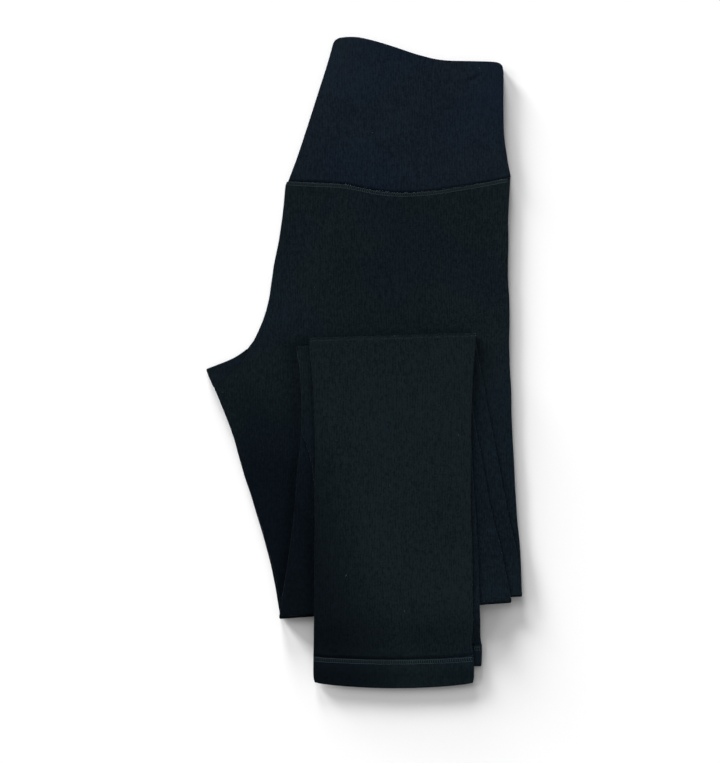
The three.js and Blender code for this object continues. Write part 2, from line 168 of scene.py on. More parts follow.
LEFT_THIGH = (
    (-121.6, -20.4, 117.4, -20.4), (-117.9, -29.7, 117.4, -29.7), (-111.4, -45.9, 117.4, -45.9),
    (-105.7, -62.1, 117.4, -62.1), (-100.9, -78.4, 117.4, -78.3), (-91.1, -110.8, 117.6, -108),
    (-81.4, -143.3, 118, -137), (-74.6, -170, 118.2, -161), (-68.4, -201.9, 118.6, -189),
)
RIGHT_SHIN_UP = (
    (-68.4, -196, 127.8, -186.6), (-63, -168, 125.8, -164), (-57, -139, 119.9, -137),
    (-52.5, -104, 113.4, -103.6), (-49.6, -70, 106.6, -68.5), (-47.4, -38, 100, -36.5),
    (-45.8, -8, 94.4, -6), (-44.4, 15.6, 90, 19.6),
)
LEFT_SHIN_UP = (
    (-67.6, -201.9, 118.2, -189), (-64.4, -178, 114.6, -170), (-60.4, -150, 109.8, -146),
    (-57, -122, 103.4, -121), (-53.6, -84, 96, -84), (-51.2, -58, 91, -57.4),
    (-50.9, -30, 86.6, -29), (-52, -7, 84, -5.6), (-54.6, 12.8, 82.4, 16),
)
LEFT_SHIN_OVER = (
    (-54.6, 12.8, 82.4, 16), (-51.4, -7, 83, -5.6), (-50.6, -30, 84, -29),
    (-50.2, -56, 85.4, -55.4), (-44.4, -72, 86.4, -71.6), (-41.2, -88, 87.2, -87.6),
    (-38.6, -120, 90, -119.8), (-36.6, -155, 91.9, -154), (-35.4, -197, 92.8, -190),
)
RIGHT_SHIN_OVER = (
    (-44.4, 15.6, 90, 19.6), (-42.4, -1, 88.4, 2), (-41, -20, 86.6, -18), (-40.3, -40, 86, -39),
    (-39.6, -78, 85.6, -77.6), (-39.8, -125, 86.1, -124), (-40.2, -160, 86.7, -158),
    (-40.4, -197, 87.2, -190),
)
# The hanging ends, with two more columns: how far they have come down, from 0 to 1, and how far
# the middle of the row lies nearer the hem than its ends
LEFT_DROP = (
    (-35.4, -197, 92.8, -190, 0, 0), (-35.2, -206, 93, -199, 0.04, 0), (-35, -213, 93.4, -208, 0.24, 0),
    (-34.8, -219, 93.8, -217, 0.6, 0), (-34.6, -224, 94.4, -223.6, 0.9, 0),
    (-34.6, -227.9, 95.3, -227.9, 1, 0),
)
RIGHT_DROP = (
    (-40.4, -197, 87.2, -190, 0, 0), (-40.4, -206, 87.4, -199, 0.1, 0.3),
    (-40.4, -213, 87.8, -208, 0.28, 0.7), (-40.6, -220, 87.6, -216, 0.54, 1.2),
    (-41, -227, 87, -225, 0.8, 1.8), (-41.2, -236.5, 88.2, -236.1, 1, 2.4),
)
BOW_FLATNESS = 0.7
# The waist seam from above, with its dip: x, y
SEAM = (
    (-61, 148.4), (-42, 147.4), (-16, 146), (9, 141.2), (28, 139.3), (48, 140.1), (68, 142.6),
    (92, 146.6), (118.6, 151.6),
)
DIP_FADE = (40, 140)


# A row of cloth: its edges, the height of its middle, the way its upper face is turned, and its
# thickness. kind is the stretch that it is in, how far a hanging end's or a hem's row bows, or how
# far up a band's row lies
Station = namedtuple("Station", "left_x left_y right_x right_y height turn thick kind")


def smooth(t):
    t = np.clip(t, 0, 1)
    return t * t * (3 - 2 * t)


def spline(table, step=STATION_STEP):
    """The smooth curve through a table's rows, cut into steps of about the given length."""
    rows = np.array(table, float)
    padded = np.vstack([2 * rows[0] - rows[1], rows, 2 * rows[-1] - rows[-2]])
    out = []
    for i in range(len(rows) - 1):
        p0, p1, p2, p3 = padded[i:i + 4]
        count = max(1, math.ceil(np.abs(p2[:4] - p1[:4]).max() / step))
        t = (np.arange(count) / count)[:, None]
        cubic = 2 * p1 + (p2 - p0) * t + (2 * p0 - 5 * p1 + 4 * p2 - p3) * t**2
        out.append((cubic + (3 * p1 - p0 - 3 * p2 + p3) * t**3) / 2)
    return np.vstack([*out, rows[-1:]])


def curve_y(table, x):
    """Height of a smooth curve, given by points x and y, at many x."""
    fine = spline(table, 0.5)
    return np.interp(x, fine[:, 0], fine[:, 1])


def seam_dip(x):
    chord = np.interp(x, (SEAM[0][0], SEAM[-1][0]), (SEAM[0][1], SEAM[-1][1]))
    return curve_y(SEAM, x) - chord


WAVES = 4
WAVE_SUM = 1.7
# Uneven numbers that spread the waves' phases
SPREAD = (12.9898, 78.233, 43758.5453)


def ripple(t, seed, length):
    """A slow, uneven wave between about -1 and 1."""
    total = 0
    for k in range(1, WAVES + 1):
        phase = math.sin(seed * SPREAD[0] + k * SPREAD[1]) * SPREAD[2] % 1 * math.tau
        pace = k**0.83 * (0.8 + 0.1 * k)
        total = total + np.sin(math.tau * np.asarray(t) / length * pace + phase) / k
    return total / WAVE_SUM


def stretch(rows, height, turn, kind):
    """Stations of a flat stretch through rows of edges."""
    return [Station(*row[:4], height, turn, LEG_THICK, kind) for row in spline(rows)]


FOLD_STEPS = 24
# How square a fold is pressed, 1 for a round one
PRESSED = 0.42


def fold(edges, low, high, side):
    """Stations half a turn round a pressed fold, towards -Y for side -1 and +Y for side 1."""
    left_x, left_y, right_x, right_y = edges
    radius = (high - low) / 2
    start = 0.0 if side < 0 else math.pi
    out = []
    for i in range(1, FOLD_STEPS):
        angle = i / FOLD_STEPS * math.pi
        away, rise = math.sin(angle), -math.cos(angle)
        reach = side * radius * away**PRESSED
        height = low + radius * (1 + math.copysign(abs(rise) ** PRESSED, rise))
        # the way the cloth's face looks there
        turned = math.atan2(away ** (2 - PRESSED), -math.copysign(abs(rise) ** (2 - PRESSED), rise))
        out.append(Station(left_x, left_y + reach, right_x, right_y + reach, height,
                           start - side * turned, LEG_THICK, "fold"))
    return out


def drop(rows, heights):
    """Stations of a hanging end, which comes down off the lower fold on to what lies below."""
    out = []
    for *edges, fall, bow in spline(rows)[1:]:
        height = heights["over"] + (heights["hem"] - heights["over"]) * fall
        out.append(Station(*edges, height, 0.0, LEG_THICK, bow))
    return out


END_ROUND = 0.9 * CLOTH
END_ANGLES = (0.25, 0.6, 0.95, 1.25)
END_FULLNESS = 0.7


def rounded_start(stations, direction):
    """The same stations with the cloth's cut end rounded off over its first millimetre."""
    first = stations[0]
    out = []
    for angle in END_ANGLES:
        shift = direction * END_ROUND * math.sin(angle)
        out.append(first._replace(left_y=first.left_y + shift, right_y=first.right_y + shift,
                                  thick=first.thick * math.sin(angle) ** END_FULLNESS))
    return out + stations[1:]


def ring_steps(across):
    """Where a ring's points lie: u across, how far out at a side edge, and how far up or down."""
    steps = []
    angles = [i / ROUND_STEPS * math.pi / 2 for i in range(ROUND_STEPS)]
    steps += [(0, math.cos(a), math.sin(a)) for a in angles]
    for i in range(across + 1):
        even = i / across
        steps.append((even + ((1 - math.cos(math.pi * even)) / 2 - even) * CROWDING, 0, 1))
    steps += [(1, -math.cos(a), math.sin(a)) for a in reversed(angles)]
    steps += [(u, out, -up) for u, out, up in reversed(steps[1:-1])]
    return np.array(steps, float)


def no_rise(x, y, kind):
    return 0 * x


def bowed(x, u, station):
    """How far a row of a hanging end or a hem bows towards the hem."""
    return -station.kind * np.sin(np.pi * np.clip(u, 0, 1)) ** BOW_FLATNESS


# How far a tube's side edges wander, and over what lengths
WANDER = 0.35
LEFT_WAVE, RIGHT_WAVE = 190, 230


def cloth_tube(name, stations, material, seed, across=LEG_ACROSS, rise=no_rise, bend=bowed, wall=WALL,
               wander=WANDER, rims=(0, 0)):
    """A flattened tube of cloth through its stations, as a closed shell with an inner wall. rise lifts
    the face that looks up, bend moves a ring's points along Y, and rims rounds its open ends."""
    steps = ring_steps(across)
    u, out, up = steps.T

    def ring(number, half, shift=0.0):
        row = stations[number]
        outer = row.thick / 2
        place = row.left_y + row.right_y
        left = row.left_x + outer + wander * ripple(place, seed, LEFT_WAVE)
        right = row.right_x - outer + wander * ripple(place, seed + 3, RIGHT_WAVE)
        x = left + (right - left) * u - out * half
        y = row.left_y + (row.right_y - row.left_y) * u + bend(x, u, row) + shift
        facing = np.maximum(math.cos(row.turn) * up, 0)
        lift = rise(x, y, row.kind) * facing * facing
        z = row.height + math.cos(row.turn) * up * half + lift
        return np.column_stack([x, y - math.sin(row.turn) * up * half, z]) * MM

    def halves(number):
        outer = stations[number].thick / 2
        return outer, max(outer - wall, THINNEST * outer)

    def rim(number, direction):
        outer, inner = halves(number)
        middle, radius = (outer + inner) / 2, (outer - inner) / 2
        angles = [i / RIM_STEPS * math.pi for i in range(1, RIM_STEPS)]
        return [ring(number, middle + radius * math.cos(a), direction * radius * math.sin(a))
                for a in angles]

    last = len(stations) - 1
    rings = [ring(i, halves(i)[0]) for i in range(last + 1)]
    if rims[1]:
        rings += rim(last, rims[1])
    inner_numbers = sorted({*range(0, last, INNER_STEP), last}, reverse=True)
    rings += [ring(i, halves(i)[1]) for i in inner_numbers]
    if rims[0]:
        rings += reversed(rim(0, rims[0]))
    count = len(u)
    around = np.arange(count)
    faces = []
    for r in range(len(rings)):
        a, b = r * count, (r + 1) % len(rings) * count
        n = (around + 1) % count
        faces.append(np.column_stack([a + around, a + n, b + n, b + around]))
    mesh = bpy.data.meshes.new(name)
    mesh.from_pydata(np.vstack(rings).tolist(), [], np.vstack(faces).tolist())
    return finish_mesh(name, mesh, material)


def finish_mesh(name, mesh, material):
    """Turns a closed mesh right side out, shades it smooth, and links it with its material."""
    work = bmesh.new()
    work.from_mesh(mesh)
    bmesh.ops.recalc_face_normals(work, faces=work.faces)
    if work.calc_volume(signed=True) < 0:
        bmesh.ops.reverse_faces(work, faces=work.faces)
    for face in work.faces:
        face.smooth = True
    work.to_mesh(mesh)
    work.free()
    piece = new_object(name, mesh, material)
    garment.objects.link(piece)
    return piece


# The knit. Fine upright wales crossed by courses, 1.3 and 0.9 millimetres wide and a little uneven,
# with a dusting of short fibres and a slow change of tone over the cloth. Over that it paints light
# and shade: the panel on top paler, the cloth beside and below it darker and bluer, a painted shade
# over the lower left of the stack, and paler painted light at the waist's corner and the hip's right
# side. Every cloth material takes it with its own two blacks.
WALE, COURSE = 1.3, 0.9
RELIEF = 0.12
CONTRAST = 0.5
# The dark and the light of a plain black knit, and the cast that turns it bluer in random patches and in the
# painted shade beside and below the panel on top
KNIT_DARK, KNIT_LIGHT = (0.006, 0.009, 0.011, 1), (0.012, 0.018, 0.02, 1)
BLUE_CAST = (0.84, 0.95, 1.14, 1)
# How fine the noises are: the wales' sway, streaks, grain, slow tone and patches
SWAY_SCALE, STREAK_SCALE, GRAIN_SCALE, SLOW_SCALE, PATCH_SCALE = 35, 620, 760, 14, 11
SWAY = 0.004
STREAK_STRETCH = (1.0, 0.4, 1.0)
# Shares of the parts in the pattern, how strongly it and the slow tone show, and the roughness
WALE_SHARE, COURSE_SHARE, PATTERN_SHARE, FIBRE_SHARE = 0.2, 0.14, 0.36, 0.5
CONTRAST_GAIN, SLOW_GAIN = 11, 0.9
ROUGH, ROUGH_GRAIN = 0.74, 0.16
# Ramps over the cloth from 0 to 1: the axis, how much in each metre, and an offset
LOW_DOWN = ("Y", -14, -0.3)
AT_HEM = ("Y", -60, -12)
HANGING = ("Y", -27, -5.35)
RIGHT_SIDE = ("X", 30, -2.8)
DOWNWARD = ("Y", -13.3, -0.13)
INWARD = ("X", 30, 3.75)
# The same up the stack, for the panel on top, which is painted paler as the best-lit layer: how much
# in each metre, an offset, how much that grows as the panel comes down to its hem, and how much
# fainter it gets there
TOP_SLOPE, TOP_OFFSET, TOP_FALL, TOP_FADE = 830, -10.4, 7.6, -0.65
# A slanting ramp, for the line down the stack to whose left the cloth is painted darker as shade, and the
# tint of that painted shade
SHADE_X, SHADE_Y, SHADE_OFFSET = -20, -6.2, -0.794
SHADE_TINT = (0.3, 0.42, 0.54, 1)
# Soft spots: x, y, half width and half height in metres, and how much
CORNER_SPOT, CORNER_GAIN = (-0.03, 0.262, 0.05, 0.06), 0.38
HIP_SPOT, HIP_GAIN = (0.022, 0.085, 0.055, 0.066), 0.22
# The tone where nothing changes it, and how much the ramps and the patches do
MIDDLE_TONE = 0.5
TOP_GAIN, BESIDE_GAIN, RIGHT_GAIN, HEM_GAIN = 0.17, -0.1, 0.13, -0.7
PATCH_GAIN, PATCH_OFFSET = 5, -2.1


def socket(tree, name, kind, value=None, out=False):
    made = tree.interface.new_socket(name=name, in_out="OUTPUT" if out else "INPUT", socket_type=kind)
    if value is not None:
        made.default_value = value


def link(tree, source, target):
    tree.links.new(source, target)


def math_node(tree, operation, a, b=None, c=None, clamp=False):
    node = tree.nodes.new("ShaderNodeMath")
    node.operation = operation
    node.use_clamp = clamp
    for i, value in enumerate((a, b, c)):
        if value is None:
            continue
        if isinstance(value, (int, float)):
            node.inputs[i].default_value = value
        else:
            link(tree, value, node.inputs[i])
    return node.outputs[0]


def noise(tree, coordinates, scale, detail=2.0, roughness=0.5):
    node = tree.nodes.new("ShaderNodeTexNoise")
    set_inputs(node, {"Detail": detail, "Roughness": roughness, "Scale": scale})
    link(tree, coordinates, node.inputs["Vector"])
    return node.outputs["Fac"]


def scaled(tree, value, factor):
    return math_node(tree, "MULTIPLY", value, factor)


def ramp(tree, split, axis, slope, offset):
    return math_node(tree, "MULTIPLY_ADD", split.outputs[axis], slope, offset, clamp=True)


def colour_mix(tree, blend_type, factor, a, b):
    node = tree.nodes.new("ShaderNodeMix")
    node.data_type = "RGBA"
    node.blend_type = blend_type
    link(tree, factor, node.inputs["Factor"])
    link(tree, a, node.inputs["A"])
    if isinstance(b, tuple):
        node.inputs["B"].default_value = b
    else:
        link(tree, b, node.inputs["B"])
    return node.outputs["Result"]


def soft_spot(tree, split, x, y, half_width, half_height):
    """1 at a place on the cloth, given in metres from above, and 0 from its half width outwards."""
    across = math_node(tree, "DIVIDE", math_node(tree, "SUBTRACT", split.outputs["X"], x), half_width)
    along = math_node(tree, "DIVIDE", math_node(tree, "SUBTRACT", split.outputs["Y"], y), half_height)
    away = math_node(tree, "MULTIPLY_ADD", across, across, math_node(tree, "MULTIPLY", along, along))
    return math_node(tree, "SUBTRACT", 1, away, clamp=True)


def build_knit():
    tree = bpy.data.node_groups.new("Double knit", "ShaderNodeTree")
    socket(tree, "Dark", "NodeSocketColor", KNIT_DARK)
    socket(tree, "Light", "NodeSocketColor", KNIT_LIGHT)
    socket(tree, "Wale", "NodeSocketFloat", WALE)
    socket(tree, "Course", "NodeSocketFloat", COURSE)
    socket(tree, "Contrast", "NodeSocketFloat", CONTRAST)
    socket(tree, "Cast", "NodeSocketColor", BLUE_CAST)
    socket(tree, "Colour", "NodeSocketColor", out=True)
    socket(tree, "Height", "NodeSocketFloat", out=True)
    socket(tree, "Roughness", "NodeSocketFloat", out=True)
    given = tree.nodes.new("NodeGroupInput")
    result = tree.nodes.new("NodeGroupOutput")
    place = tree.nodes.new("ShaderNodeTexCoord").outputs["Object"]
    split = tree.nodes.new("ShaderNodeSeparateXYZ")
    link(tree, place, split.inputs[0])
    # wales run down the garment and wander a little
    sway = scaled(tree, noise(tree, place, SWAY_SCALE), SWAY)
    x = math_node(tree, "ADD", split.outputs["X"], sway)
    turns = math.tau / MM
    wales, courses = (
        math_node(tree, "SINE", math_node(tree, "DIVIDE", scaled(tree, value, turns), given.outputs[width]))
        for value, width in ((x, "Wale"), (split.outputs["Y"], "Course")))
    pattern = math_node(tree, "ADD", scaled(tree, wales, WALE_SHARE), scaled(tree, courses, COURSE_SHARE))
    # streaks along the wales, and a fine grain
    stretched = tree.nodes.new("ShaderNodeMapping")
    stretched.inputs["Scale"].default_value = STREAK_STRETCH
    link(tree, place, stretched.inputs["Vector"])
    streaks = noise(tree, stretched.outputs[0], STREAK_SCALE, 3, 0.62)
    grain = noise(tree, place, GRAIN_SCALE, 3, 0.7)
    broad = noise(tree, place, SLOW_SCALE, 3, 0.55)
    fibres = math_node(tree, "ADD", scaled(tree, streaks, FIBRE_SHARE), scaled(tree, grain, FIBRE_SHARE))
    level = math_node(tree, "MULTIPLY_ADD", pattern, PATTERN_SHARE, fibres)
    centred = math_node(tree, "SUBTRACT", level, 0.5)
    strong = math_node(tree, "MULTIPLY", centred, scaled(tree, given.outputs["Contrast"], CONTRAST_GAIN))
    slow = scaled(tree, math_node(tree, "SUBTRACT", broad, 0.5), SLOW_GAIN)
    # painted light and shade: the panel on top is painted paler as the best-lit layer, and the cloth low
    # down beside it darker and bluer as shaded by the stack
    hanging = ramp(tree, split, *HANGING)
    top_level = math_node(tree, "MULTIPLY_ADD", hanging, TOP_FALL, TOP_OFFSET)
    lit_top_panel = math_node(tree, "MULTIPLY_ADD", split.outputs["Z"], TOP_SLOPE, top_level, clamp=True)
    lit_top_panel = math_node(tree, "MULTIPLY", lit_top_panel, math_node(tree, "MULTIPLY_ADD", hanging, TOP_FADE, 1))
    at_hem, low_down = ramp(tree, split, *AT_HEM), ramp(tree, split, *LOW_DOWN)
    lower = math_node(tree, "MULTIPLY_ADD", at_hem, HEM_GAIN, low_down)
    shaded_beside = math_node(tree, "SUBTRACT", lower, lit_top_panel, clamp=True)
    darker = math_node(tree, "MULTIPLY_ADD", shaded_beside, BESIDE_GAIN, MIDDLE_TONE)
    # the waist's upper left corner and the hip's right side catch a little more light
    right_side = scaled(tree, ramp(tree, split, *RIGHT_SIDE), RIGHT_GAIN)
    paler = math_node(tree, "MULTIPLY_ADD", soft_spot(tree, split, *CORNER_SPOT), CORNER_GAIN, right_side)
    level_tone = math_node(tree, "ADD", math_node(tree, "MULTIPLY_ADD", lit_top_panel, TOP_GAIN, darker), paler)
    tone = math_node(tree, "ADD", math_node(tree, "ADD", strong, slow), level_tone, clamp=True)
    plain = colour_mix(tree, "MIX", tone, given.outputs["Dark"], given.outputs["Light"])
    uneven = math_node(tree, "MULTIPLY_ADD", noise(tree, place, PATCH_SCALE), PATCH_GAIN, PATCH_OFFSET)
    patches = math_node(tree, "ADD", uneven, math_node(tree, "SUBTRACT", shaded_beside, lit_top_panel), clamp=True)
    patched = colour_mix(tree, "MULTIPLY", patches, plain, given.outputs["Cast"])
    # a soft shade over the lower left of the stack, and a faint one at the middle of the hip
    leftward = math_node(tree, "MULTIPLY_ADD", split.outputs["X"], SHADE_X, SHADE_OFFSET)
    stack_left = math_node(tree, "MULTIPLY_ADD", split.outputs["Y"], SHADE_Y, leftward, clamp=True)
    low_left = math_node(tree, "MULTIPLY", stack_left, ramp(tree, split, *DOWNWARD))
    low_left = math_node(tree, "MULTIPLY", low_left, ramp(tree, split, *INWARD))
    hip_middle = scaled(tree, soft_spot(tree, split, *HIP_SPOT), HIP_GAIN)
    shade = math_node(tree, "ADD", low_left, hip_middle, clamp=True)
    link(tree, colour_mix(tree, "MULTIPLY", shade, patched, SHADE_TINT), result.inputs["Colour"])
    link(tree, level, result.inputs["Height"])
    link(tree, math_node(tree, "MULTIPLY_ADD", grain, ROUGH_GRAIN, ROUGH), result.inputs["Roughness"])
    return tree


knit = build_knit()


def knit_material(name, dark, light):
    material, tree, shader = new_material(name)
    cloth = tree.nodes.new("ShaderNodeGroup")
    cloth.node_tree = knit
    set_inputs(cloth, {"Dark": (*dark, 1), "Light": (*light, 1)})
    set_inputs(cloth, {"Wale": WALE, "Course": COURSE, "Contrast": CONTRAST})
    link(tree, cloth.outputs["Colour"], shader.inputs["Base Color"])
    link(tree, cloth.outputs["Roughness"], shader.inputs["Roughness"])
    bump = tree.nodes.new("ShaderNodeBump")
    set_inputs(bump, {"Strength": 0.6, "Distance": RELIEF * MM})
    link(tree, cloth.outputs["Height"], bump.inputs["Height"])
    link(tree, bump.outputs["Normal"], shader.inputs["Normal"])
    set_inputs(shader, {"Specular IOR Level": 0.03, "Sheen Weight": 0.4, "Sheen Roughness": 0.16,
                        "Sheen Tint": (0.8, 0.93, 1, 1)})
    return material


leg_knit = knit_material("leg_knit", (0.0008, 0.0024, 0.0034), (0.0040, 0.0072, 0.0086))

# Where the folded shins end over the hip: heights and edges on the left and right, the top, a fade
STACK_LEFT = ((-205, 20), (-72, -58))
STACK_RIGHT = ((-190, 25), (130, 94))
STACK_TOP = 27
STACK_FADE = 9


def stack_edge(x, y):
    """How far a place on the hip lies outside the folded shins, from 0 at their edge to 1."""
    left = np.interp(y, *STACK_LEFT)
    right = np.interp(y, *STACK_RIGHT)
    outside = np.maximum(np.maximum(left - x, x - right), y - STACK_TOP)
    return smooth(outside / STACK_FADE)


def bell(distance, height, centre, half_width):
    """A soft ridge across a distance, or a trough where its height is less than 0."""
    return height * np.exp(-((distance - centre) / half_width) ** 2)


# The share of a crease's length over which it thins out at each end
LINE_ENDS = 0.3


def bump_line(x, y, start, end, width):
    """A soft ridge from start to end, 1 at its middle line and thinning out at both ends."""
    ax, ay = start
    dx, dy = end[0] - ax, end[1] - ay
    length = math.hypot(dx, dy)
    along = ((x - ax) * dx + (y - ay) * dy) / length
    away = np.abs((x - ax) * dy - (y - ay) * dx) / length
    thin = length * LINE_ENDS
    ends = smooth(along / thin) * smooth((length - along) / thin)
    return np.exp(-(away / width) ** 2) * ends


# Soft creases of the hip, from and to in millimetres, half width, and height, less than 0 a trough
HIP_CREASES = (
    ((-90, 14), (-20, 62), 6, 0.35), ((-84, 2), (-8, 40), 5, -0.3), ((-100, -14), (-62, -4), 4, 0.28),
    ((-98, -40), (-70, -120), 5, 0.3), ((-60, 130), (-30, 60), 9, 0.25), ((40, 132), (70, 60), 11, -0.3),
    ((100, 110), (112, 20), 7, 0.25), ((0, 120), (24, 40), 12, 0.3),
)


def hip_left(y):
    """Where the hip's and the thigh's left edge lies at a height."""
    edges = np.array(HIP + RIGHT_THIGH[1:])
    return np.interp(-y, -edges[:, 1], edges[:, 0])


# The swell of the hip: everywhere, more towards the waist from a height and over a length, and waves
HIP_SWELL, HIP_FULL, HIP_WAVE = 0.25, 0.3, 0.18
FULL_FROM, FULL_OVER = -60, 150
# Relief below the waist seam and inside the left edge: height, distance, half width
SEAM_RELIEF = ((0.55, 0, 8), (-0.3, 2.3, 0.8), (-0.25, 4.2, 0.7))
SEAM_GROOVE = (-0.7, 0, 0.8)
EDGE_RELIEF = ((0.4, 2.6, 0.8), (-0.15, 4.6, 0.9))
SEAM_INSET = 0.6
# Where the edge's fall ends, inside the left edge
EDGE_OVER = 1.5
PUCKER, PUCKER_WAVE, PUCKER_FADE = 0.16, 17, 9


def hip_rise(x, y):
    """Height of the right hip's upper face over its flat form: swell, creases, seams and puckers."""
    free = stack_edge(x, y)
    below = curve_y(SEAM, x) - SEAM_INSET - y
    full = HIP_FULL * smooth((y - FULL_FROM) / FULL_OVER)
    swell = HIP_SWELL + full + HIP_WAVE * ripple(x + 0.6 * y, 5, 120)
    creases = sum(h * bump_line(x, y, a, b, w) for a, b, w, h in HIP_CREASES)
    seam = sum(bell(below, *row) for row in SEAM_RELIEF) + bell(np.maximum(below, 0), *SEAM_GROOVE)
    pucker = PUCKER * ripple(x, 9, PUCKER_WAVE) * np.exp(-below / PUCKER_FADE) * smooth(below / 2)
    inside = x - hip_left(y)
    ridge = sum(bell(inside, *row) for row in EDGE_RELIEF)
    return free * (swell + creases + seam + pucker) * smooth(inside / EDGE_OVER) + free * ridge


# Soft creases of the top shin panel, in the same way
SHIN_CREASES = (
    ((-30, -10), (60, -30), 9, 0.3), ((-20, -60), (30, -120), 8, -0.3), ((40, -70), (76, -150), 9, 0.32),
    ((-32, -150), (-6, -176), 3, 0.25), ((-36, -120), (-34, -200), 5, 0.35),
    ((10, -150), (60, -190), 8, -0.25), ((79, -20), (80, -170), 4, 0.3),
)
# The panel's side edges and the fade inside them, its swell and waves, where it comes out of its
# fold, and the puckers along the hem
SHIN_LEFT, SHIN_RIGHT = -41, 88
SHIN_FADE = 10
SHIN_SWELL, SHIN_LONG_WAVE, SHIN_CROSS_WAVE = 0.5, 0.25, 0.2
SHIN_TOP, TOP_OVER = 20, 25
HEM_PUCKER, HEM_PUCKER_Y = 0.14, -238


def shin_rise(x, y):
    """Height of the top panel's upper face over its flat form."""
    swell = SHIN_SWELL + SHIN_LONG_WAVE * ripple(y, 2, 150) + SHIN_CROSS_WAVE * ripple(x + 0.3 * y, 6, 90)
    creases = sum(h * bump_line(x, y, a, b, w) for a, b, w, h in SHIN_CREASES)
    sides = smooth((x - SHIN_LEFT) / SHIN_FADE) * smooth((SHIN_RIGHT - x) / SHIN_FADE)
    pucker = HEM_PUCKER * ripple(x, 4, 15) * np.exp(-np.abs(y - HEM_PUCKER_Y) / SHIN_FADE)
    return (swell + creases) * sides + pucker


def right_rise(x, y, kind):
    if kind == "down":
        return hip_rise(x, y)
    if kind == "over" or isinstance(kind, float):
        return shin_rise(x, y) * smooth((SHIN_TOP - y) / TOP_OVER)
    return no_rise(x, y, kind)


# The left leg's fold that shows beside the top panel: its free edges, and how much it swells there
FREE_LEFT, FREE_RIGHT, FREE_FADE = -46, 92, 6
FREE_SWELL = 0.25


def left_rise(x, y, kind):
    if kind == "up":
        outside = np.maximum(FREE_LEFT - x, x - FREE_RIGHT)
        return FREE_SWELL * smooth(outside / FREE_FADE) * (1 + 0.5 * ripple(y, 8, 60))
    return no_rise(x, y, kind)


def leg_bend(x, u, station):
    """The waist seam's dip, which fades out down the hip, and the bow of the hanging end."""
    if isinstance(station.kind, float):
        return bowed(x, u, station)
    if station.kind != "down":
        return 0 * x
    fade = smooth((station.right_y - DIP_FADE[0]) / (DIP_FADE[1] - DIP_FADE[0]))
    return seam_dip(x) * fade


def leg_stations(thigh, shin_up, shin_over, hanging, heights):
    hip = rounded_start(stretch(HIP, heights["down"], 0.0, "down"), direction=-1)
    return [
        *hip, *stretch(thigh, heights["down"], 0.0, "down")[1:],
        *fold(thigh[-1], heights["down"], heights["up"], side=-1),
        *stretch(shin_up, heights["up"], math.pi, "up"),
        *fold(shin_up[-1], heights["up"], heights["over"], side=1),
        *stretch(shin_over, heights["over"], 0.0, "over"), *drop(hanging, heights),
    ]


left_leg = cloth_tube(
    "left_leg_knit", leg_stations(LEFT_THIGH, LEFT_SHIN_UP, LEFT_SHIN_OVER, LEFT_DROP, LEFT_HEIGHTS),
    leg_knit, seed=2, rise=left_rise, bend=leg_bend)
right_leg = cloth_tube(
    "right_leg_knit", leg_stations(RIGHT_THIGH, RIGHT_SHIN_UP, RIGHT_SHIN_OVER, RIGHT_DROP, RIGHT_HEIGHTS),
    leg_knit, seed=5, rise=right_rise, bend=leg_bend)
for piece, node in ((left_leg, "left_leg"), (right_leg, "right_leg")):
    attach(piece, "root")
    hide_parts(node)

# The waistband. A wide band of the same knit, doubled over at the top edge, which gives the waist a
# thick soft rim. Each half is a flattened tube of two doubled walls, open at the waist.
BAND_THICK = 3.2
BAND_WALL = 1.4
BAND_WANDER = 0.3
BAND_ACROSS = 92
BAND_STATIONS = 66
BAND_HEIGHTS = {"left": BAND_THICK / 2, "right": BAND_THICK * 1.5 + 0.3}
BAND_OVERLAP = 0.9
TOP_RIM = 0.6
# The band's foot, pressed thin into the seam: where its rows lie, and how thin it starts
FOOT_SHARES = (0.0, 0.004, 0.009, 0.014, 0.019, 0.023)
FOOT_THIN = 0.16
FOOT_FULLNESS = 0.8
BAND_TOP = (
    (-25.2, 259.4), (-23, 262), (-19, 263.6), (-11.6, 264.1), (-3.5, 263.6), (8.7, 260.8), (24.9, 255.9),
    (41.1, 250.5), (57.3, 246.4), (69.4, 245), (85.7, 244.6), (101.9, 244.2), (108.8, 243.2), (111.8, 240.6),
    (112.6, 237.4),
)
# Its side edges from the seam, 0, to the top, 1: share, left x, right x
BAND_SIDES = (
    (0, -61.5, 118.6), (0.17, -54.4, 115.8), (0.4, -45.9, 113.1), (0.65, -37, 112.5), (0.85, -29.9, 112.6),
    (1, -25.2, 112.6),
)
BAND_CREASES = (
    ((78, 223.5), (97, 235), 1.7, -0.85), ((76, 226.6), (95, 238), 1.9, 0.5),
    ((-20, 200), (30, 235), 11, 0.3), ((20, 165), (70, 200), 12, -0.28),
    ((-36, 170), (-14, 230), 7, 0.3), ((90, 165), (104, 225), 8, 0.3),
)


def band_edges(t):
    fine = spline(BAND_SIDES, 0.02)
    return np.interp(t, fine[:, 0], fine[:, 1]), np.interp(t, fine[:, 0], fine[:, 2])


def at_share(table, share):
    """Height of a curve at a share of its width."""
    start, end = table[0][0], table[-1][0]
    return curve_y(table, start + (end - start) * share)


def band_bend(x, u, station):
    """Rows of the band: the seam's curve at its foot, and the top edge's curve at its top."""
    t = station.kind
    left, right = band_edges(t)
    share = np.clip((x - left) / (right - left), 0, 1)
    low = at_share(SEAM, share) - BAND_OVERLAP
    high = at_share(BAND_TOP, share) - TOP_RIM
    return low + (high - low) * t


# How the band's upper face stands: its foot and height, the fade at its sides, swell and waves,
# how far from the seam the swell is full, and the puckers along the seam
BAND_FOOT_Y, BAND_HEIGHT = 145, 105
BAND_SIDE_FADE = 12
BAND_SWELL, BAND_CROSS_WAVE, BAND_LONG_WAVE = 0.45, 0.25, 0.2
SWELL_STARTS = 14
BAND_PUCKER, BAND_PUCKER_FADE = 0.18, 10


